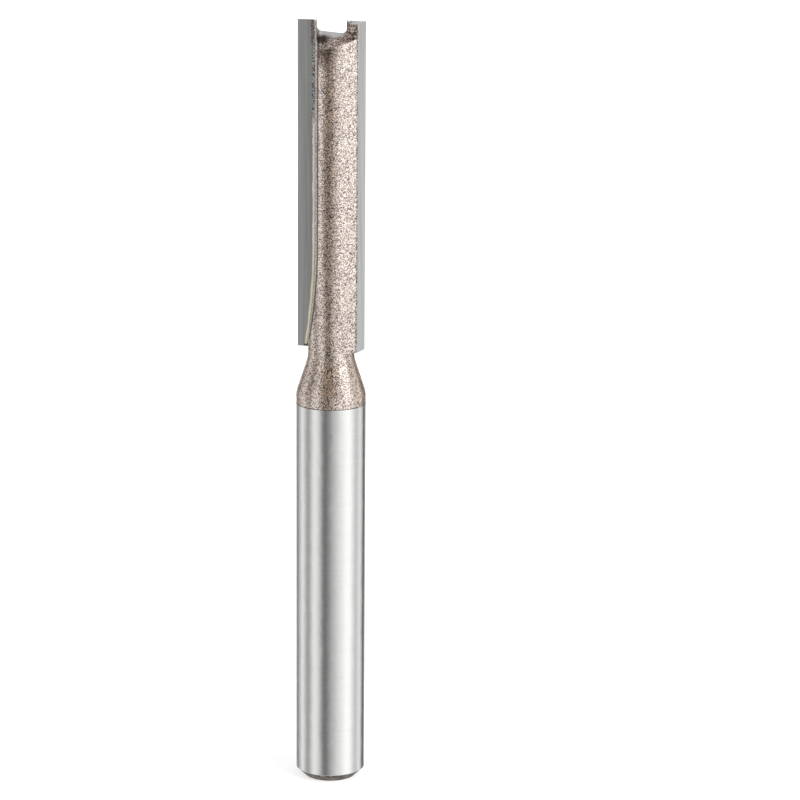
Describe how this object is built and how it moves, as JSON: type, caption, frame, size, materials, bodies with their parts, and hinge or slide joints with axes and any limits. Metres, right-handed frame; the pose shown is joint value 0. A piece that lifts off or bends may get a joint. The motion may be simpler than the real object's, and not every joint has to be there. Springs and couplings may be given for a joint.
{
  "type": "router bit",
  "caption": "Straight fluted router bit with brazed carbide cutting plates, a coned neck and a plain round shank.",
  "frame": {"origin": "centre of the flat end of the shank", "axes": "+Z along the axis towards the cutting tip; the cutting edges lie in the XZ plane, at -X and +X"},
  "size_m": [0.0064, 0.0064, 0.0703],
  "materials": {
    "tool_steel": "ground shank, metallic bronze paint over neck and head",
    "carbide": "finely ground, satin",
    "braze": "as brazed, satin"
  },
  "bodies": {
    "root": {"bit_body": "tool_steel", "cutting_plate_a": "carbide", "cutting_plate_b": "carbide", "braze_seam_a": "braze", "braze_seam_b": "braze"}
  },
  "joints": []
}
